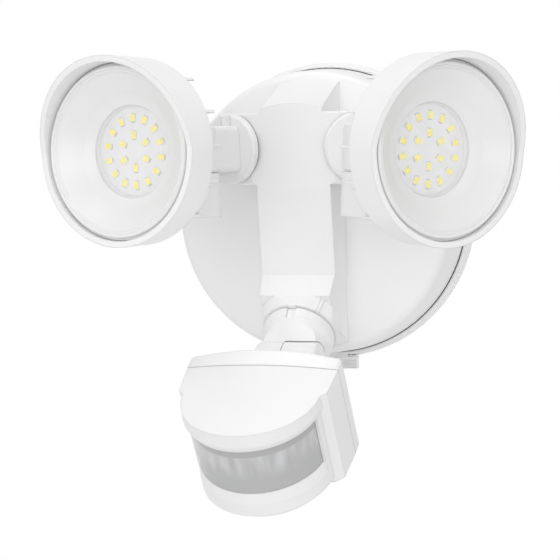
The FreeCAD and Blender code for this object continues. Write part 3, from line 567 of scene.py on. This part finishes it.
def rounded_ring(half_length, half_width, height, corner):
    """Points of a rectangle with round corners, in millimetres."""
    points = []
    for quarter in range(4):
        sign_x = 1 if quarter in (0, 3) else -1
        sign_y = 1 if quarter in (0, 1) else -1
        for step in range(CORNER_STEPS + 1):
            angle = math.pi / 2 * (quarter + step / CORNER_STEPS)
            x = sign_x * (half_length - corner) + corner * math.cos(angle)
            y = sign_y * (half_width - corner) + corner * math.sin(angle)
            points.append(Vector((x, y, height)) * MM)
    return points


def loft(maker, place, rings):
    """Closed skin over rings of points, each moved to its place, with flat ends."""
    rows = [[maker.verts.new(place @ point) for point in ring] for ring in rings]
    join_rows(maker, rows)
    maker.faces.new(reversed(rows[0]))
    maker.faces.new(rows[-1])


def join_rows(maker, rows):
    """Band of faces between each closed row of corners and the next."""
    count = len(rows[0])
    for here, there in zip(rows, rows[1:]):
        for k in range(count):
            n = (k + 1) % count
            maker.faces.new((here[k], here[n], there[n], there[k]))


def package_rings(outline):
    return [rounded_ring(*ring, PACKAGE_CORNER) for ring in outline]


def terminal_side(end, across):
    """One side of the metal terminal at an end of a package, measured from the package's foot."""
    start = PACKAGE_RINGS[0][0]
    root, tip = start - TERMINAL_ROOT, start + TERMINAL_REACH
    outline = ((root, 0.0), (tip, 0.0), (tip, TERMINAL_HEIGHT / 2),
               (start + TERMINAL_SHOULDER, TERMINAL_HEIGHT), (root, TERMINAL_HEIGHT))
    return [Vector((end * x, across, z)) * MM for x, z in outline]


def diode_packages(side, materials):
    """White moulded packages with a recessed phosphor and a metal terminal at each end."""
    head = side + "_head"
    chips = side + "_led_chips"
    board_middle = middle(solids(side + "_led_board")[0])
    places = [package_frame(corners, board_middle) for corners in solids(chips)]
    bodies = bmesh.new()
    phosphors = bmesh.new()
    terminals = bmesh.new()
    for place in places:
        loft(bodies, place, package_rings(PACKAGE_RINGS))
        loft(phosphors, place, package_rings(PHOSPHOR_RINGS))
        for end in (-1, 1):
            sides = [terminal_side(end, across) for across in (-TERMINAL_HALF_WIDTH, TERMINAL_HALF_WIDTH)]
            loft(terminals, place, sides)
    add_piece(side + "_diode_bodies", bodies, head, "board_white", materials["board_white"], chips)
    add_piece(side + "_diode_phosphor", phosphors, head, "led_phosphor", materials["led_phosphor"])
    add_piece(side + "_diode_terminals", terminals, head, "steel", materials["steel"])


def sensor_axes():
    """The tilt hinge's place, and the sensor's side, forward and up directions at rest."""
    hinge = Vector(joints["sensor_tilt"]["pos_m"])
    up = Vector(joints["range_dial_turn"]["axis"]).normalized()
    side = Vector((1.0, 0.0, 0.0))
    return hinge, side, side.cross(up), up


def window_lens(materials):
    """Curved window: pillowed lens columns, a plain band below them and a rim all round."""
    hinge, side, forward, up = sensor_axes()
    corners = solids("pir_window")[0]
    heights = [(corner - hinge).dot(up) for corner in corners]
    low, high = min(heights), max(heights)
    radius = max(corner.x for corner in corners) / math.sin(math.radians(WINDOW_HALF_ANGLE))
    centre = hinge + forward * (max((corner - hinge).dot(forward) for corner in corners) - radius)
    columns = WINDOW_COLUMNS * WINDOW_STEPS
    maker = bmesh.new()
    marks = maker.loops.layers.uv.new("window")
    rim_angle = WINDOW_RIM / radius

    def place(share, rise, depth):
        angle = math.radians(WINDOW_HALF_ANGLE) * (2 * share - 1)
        reach = radius - depth
        return centre + side * (reach * math.sin(angle)) + forward * (reach * math.cos(angle)) \
            + up * (low + (high - low) * rise)

    def depth_at(share, rise):
        from_end = min(share, 1 - share) * 2 * math.radians(WINDOW_HALF_ANGLE)
        from_edge = min(rise, 1 - rise) * (high - low)
        if from_end < rim_angle or from_edge < WINDOW_RIM:
            return 0.0
        depth = RIM_STEP
        if rise > LENS_ZONE:
            depth += PILLOW_DEPTH * (1 - abs(math.sin(math.pi * share * WINDOW_COLUMNS)))
        return depth

    outer = [[maker.verts.new(place(i / columns, j / WINDOW_ROWS, depth_at(i / columns, j / WINDOW_ROWS)))
              for i in range(columns + 1)] for j in range(WINDOW_ROWS + 1)]
    inner = [[maker.verts.new(place(i / columns, j / WINDOW_ROWS, WINDOW_THICKNESS))
              for i in range(columns + 1)] for j in range(WINDOW_ROWS + 1)]

    def quad(points, spots):
        face = maker.faces.new(points)
        for loop, (u, v) in zip(face.loops, spots):
            loop[marks].uv = (u, v)

    for j in range(WINDOW_ROWS):
        for i in range(columns):
            spots = [(i / columns, j / WINDOW_ROWS), ((i + 1) / columns, j / WINDOW_ROWS),
                     ((i + 1) / columns, (j + 1) / WINDOW_ROWS), (i / columns, (j + 1) / WINDOW_ROWS)]
            quad((outer[j][i], outer[j][i + 1], outer[j + 1][i + 1], outer[j + 1][i]), spots)
            quad((inner[j + 1][i], inner[j + 1][i + 1], inner[j][i + 1], inner[j][i]), spots)
    for i in range(columns):
        for j, turn in ((0, 1), (WINDOW_ROWS, -1)):
            points = (outer[j][i], inner[j][i], inner[j][i + 1], outer[j][i + 1])
            quad(points[::turn], [(i / columns, 0.0)] * 4)
    for j in range(WINDOW_ROWS):
        for i in (0, columns):
            points = (outer[j][i], outer[j + 1][i], inner[j + 1][i], inner[j][i])
            quad(points, [(i / columns, 0.0)] * 4)
    add_piece("window_lens", maker, "sensor", "window_grey", materials["window_grey"], "pir_window")


def spoke(axis, across, angle):
    """Direction square to an axis, at an angle from another such direction."""
    return across * math.cos(angle) + axis.cross(across) * math.sin(angle)


def turned_rows(maker, centre, axis, across, outline, gap, count):
    """Corners of an outline at each step round an axis, from one side of a gap on."""
    rows = []
    for step in range(count):
        out = spoke(axis, across, gap / 2 + (2 * math.pi - gap) * step / RING_STEPS)
        rows.append([maker.verts.new(centre + (out * radius + axis * height) * MM)
                     for radius, height in outline])
    return rows


def turned_ring(centre, axis, outline):
    """Closed ring: an outline of radius and height turned about an axis."""
    maker = bmesh.new()
    rows = turned_rows(maker, centre, axis, axis.orthogonal().normalized(), outline, 0.0, RING_STEPS)
    join_rows(maker, rows + rows[:1])
    return maker


def open_ring(centre, axis, gap_side, gap, outline):
    """Ring that stops at each side of a gap: the gap's middle is a direction, its width an angle."""
    maker = bmesh.new()
    rows = turned_rows(maker, centre, axis, gap_side, outline, gap, RING_STEPS + 1)
    join_rows(maker, rows)
    maker.faces.new(rows[0])
    maker.faces.new(reversed(rows[-1]))
    return maker


def lens_disc(centre, axis):
    """Clear disc with a rounded edge that fills the bowl's foot."""
    maker = bmesh.new()
    across = axis.orthogonal().normalized()
    spokes = [spoke(axis, across, 2 * math.pi * step / RING_STEPS) for step in range(RING_STEPS)]
    rings = [[centre + (out * radius + axis * height) * MM for out in spokes] for radius, height in LENS_DISC]
    loft(maker, Matrix.Identity(4), rings)
    return maker


def head_rings(side, materials):
    """Rolled rim of the bowl, its sloping foot, and the lens and spacer inside that foot."""
    head = side + "_head"
    board_middle = middle(solids(side + "_led_board")[0])
    axis = package_frame(solids(side + "_led_chips")[0], board_middle).col[2].to_3d().normalized()
    white = materials["reflector_white"]
    rings = (("_bowl_rim", BOWL_RIM), ("_bowl_foot", BOWL_FOOT), ("_lens_spacer", LENS_SPACER))
    for ending, outline in rings:
        add_piece(side + ending, turned_ring(board_middle, axis, outline), head, "reflector_white", white)
    add_piece(side + "_lens_disc", lens_disc(board_middle, axis), head, "clear_lens", materials["clear_lens"],
              side + "_lens")


def plate_rim(materials):
    """Soft steps round the wall plate's rim, open below where the release tab runs."""
    ring = open_ring(Vector(), OUTWARD, DOWN, math.radians(PLATE_RIM_GAP), PLATE_RIM)
    add_piece("plate_rim_steps", ring, "root", "white_plastic", materials["white_crisp"])


def seals(materials):
    """Dark rubber in the joint lines of the cover and of both swivel seats; at the swivel seats the dark rings
    also paint the shade in the gap.
    """
    rubber = materials["seal_rubber"]
    bead = turned_ring(Vector(), OUTWARD, COVER_SEAL)
    add_piece("cover_seal_bead", bead, "root", "seal_rubber", rubber, "cover_seal")
    # At each swivel seat the dark rubber ring also stands in for the shade in the gap between swivel and seat
    for name, joint in joints.items():
        if name.endswith("_swivel_turn"):
            ring = turned_ring(Vector(joint["pos_m"]), Vector(joint["axis"]).normalized(), SWIVEL_SEAL)
            add_piece(joint["child"] + "_seal", ring, joint["child"], "seal_rubber", rubber)


def outline_at(corners, origin, side, up):
    """Convex outline of points, as places across and up from an origin."""

    def place(corner):
        return tuple(round((corner - origin).dot(way), OUTLINE_DIGITS) for way in (side, up))

    places = sorted({place(corner) for corner in corners})
    hull = []
    for row in (places, places[::-1]):
        start = len(hull)
        for x, z in row:
            while len(hull) - start > 1:
                (x0, z0), (x1, z1) = hull[-2], hull[-1]
                if (x1 - x0) * (z - z0) - (z1 - z0) * (x - x0) > 0:
                    break
                hull.pop()
            hull.append((x, z))
        hull.pop()
    return hull


def shell_gap_shade(materials):
    """Thin dark strip in the joint line between the sensor's front and rear shells, which paints the shade in the
    gap there.
    """
    hinge, side, forward, up = sensor_axes()
    front = solids("sensor_housing")[0]
    rear = solids("sensor_rear_cover")[0]
    near = min((corner - hinge).dot(forward) for corner in front)
    far = max((corner - hinge).dot(forward) for corner in rear)
    rim = [corner for corner in front if (corner - hinge).dot(forward) < near + WELD]
    outline = [Vector(place) for place in outline_at(rim, hinge, side, up)]
    centre = sum(outline, Vector((0.0, 0.0))) / len(outline)
    maker = bmesh.new()
    loops = []
    for depth, reach in ((GAP_SHADE_INSET, far), (GAP_SHADE_INSET, near), (GAP_SHADE_DEPTH, near), (GAP_SHADE_DEPTH, far)):
        loop = []
        for place in outline:
            moved = place - (place - centre).normalized() * depth
            loop.append(maker.verts.new(hinge + side * moved.x + up * moved.y + forward * reach))
        loops.append(loop)
    join_rows(maker, loops + loops[:1])
    add_piece("sensor_shell_gap_shade", maker, "sensor", "seal_rubber", materials["gap_shade_grey"])


def rear_crown(materials):
    """Arched top of the sensor's rear shell, highest at its middle and rising towards the back."""
    hinge, side, forward, up = sensor_axes()
    maker = bmesh.new()

    def place(across, reach, height):
        return maker.verts.new(hinge + side * across + forward * reach + up * height)

    tops = []
    roots = []
    for reach, share in CROWN_ROWS:
        top = []
        root = []
        for step in range(CROWN_COLUMNS + 1):
            across = CROWN_HALF_WIDTH * (2 * step / CROWN_COLUMNS - 1)
            roof = ROOF_TOP - across * across / (2 * ROOF_RADIUS)
            arch = 1 - (across / CROWN_HALF_WIDTH) ** 2
            top.append(place(across, reach * MM, roof + CROWN_RISE * share * arch))
            root.append(place(across, reach * MM, roof - CROWN_ROOT))
        tops.append(top)
        roots.append(root)
    for rows, turn in ((tops, 1), (roots, -1)):
        for near, far in zip(rows, rows[1:]):
            for k in range(CROWN_COLUMNS):
                maker.faces.new((near[k], near[k + 1], far[k + 1], far[k])[::turn])
    for k in range(CROWN_COLUMNS):
        for row in (0, -1):
            maker.faces.new((tops[row][k], roots[row][k], roots[row][k + 1], tops[row][k + 1]))
    for j in range(len(CROWN_ROWS) - 1):
        for end in (0, -1):
            maker.faces.new((tops[j][end], tops[j + 1][end], roots[j + 1][end], roots[j][end]))
    add_piece("sensor_rear_crown", maker, "sensor", "white_plastic", materials["white_plastic"])


def radius_at(corners, centre, axis, level):
    """Largest distance from an axis among the corners close to one level along it."""
    reach = [((c - centre) - axis * (c - centre).dot(axis)).length for c in corners
             if abs((c - centre).dot(axis) - level) < HEAD_SLICE]
    return max(reach)


def cross_cutter(place, inward, half_length, half_width):
    """Two crossed bars that narrow with depth, to cut a recess into a screw head."""
    maker = bmesh.new()
    across = inward.orthogonal().normalized()
    along = inward.cross(across)
    for long_way, short_way in ((across, along), (along, across)):
        rings = []
        for depth, share in ((-RECESS_OVERSHOOT, 1.0), (RECESS_DEPTH, RECESS_TAPER)):
            x, y = half_length * share, half_width * share
            rings.append([place + inward * depth + long_way * a + short_way * b
                          for a, b in ((-x, -y), (x, -y), (x, y), (-x, y))])
        loft(maker, Matrix.Identity(4), rings)
    bmesh.ops.recalc_face_normals(maker, faces=maker.faces)
    mesh = bpy.data.meshes.new("cutter")
    maker.to_mesh(mesh)
    maker.free()
    cutter = bpy.data.objects.new("cutter", mesh)
    bpy.context.scene.collection.objects.link(cutter)
    return cutter


def recessed_screws(node, body, axis, slot, material):
    """Stands for a CAD node of screws and gives each head a cross recess."""
    maker = bmesh.new()
    maker.from_mesh(frame["nodes"][node].data)
    bmesh.ops.remove_doubles(maker, verts=maker.verts, dist=WELD)
    piece = add_piece(node + "_heads", maker, body, slot, material, node)
    cutters = []
    for corners in solids(node):
        centre = middle(corners)
        levels = [(corner - centre).dot(axis) for corner in corners]
        top, foot = max(levels), min(levels)
        out, level = axis, top
        if radius_at(corners, centre, axis, foot) > radius_at(corners, centre, axis, top) + WELD:
            out, level = -axis, foot
        radius = radius_at(corners, centre, axis, level)
        face = centre + axis * level
        cutters.append(cross_cutter(face, -out, radius * RECESS_LENGTH, radius * RECESS_WIDTH))
    for cutter in cutters:
        cut = piece.modifiers.new("recess", "BOOLEAN")
        cut.operation = "DIFFERENCE"
        cut.solver = "EXACT"
        cut.use_self = True
        cut.object = cutter
    bpy.context.view_layer.update()
    graph = bpy.context.evaluated_depsgraph_get()
    cut_mesh = bpy.data.meshes.new_from_object(piece.evaluated_get(graph))
    piece.modifiers.clear()
    piece.data = cut_mesh
    cut_mesh.set_sharp_from_angle(angle=math.radians(SHARP_ANGLE))
    for cutter in cutters:
        bpy.data.objects.remove(cutter)


def screws(materials):
    """Cross recesses in the screws of the sensor and in both hinge bolts."""
    forward = sensor_axes()[2]
    recessed_screws("sensor_screws", "sensor", -forward, "steel", materials["steel"])
    for side in ("left", "right"):
        pin = Vector(joints[side + "_head_pan"]["axis"]).normalized()
        recessed_screws(side + "_hinge_bolt", side + "_head", pin, "steel", materials["steel"])


bpy.context.scene.view_settings.view_transform = "Standard"
add_camera()
set_world()
add_floor()
for lamp in LAMPS:
    add_lamp(*lamp)
materials = make_materials()
dress_cad(materials)
for side in ("left", "right"):
    diode_packages(side, materials)
    head_rings(side, materials)
window_lens(materials)
plate_rim(materials)
seals(materials)
shell_gap_shade(materials)
rear_crown(materials)
screws(materials)
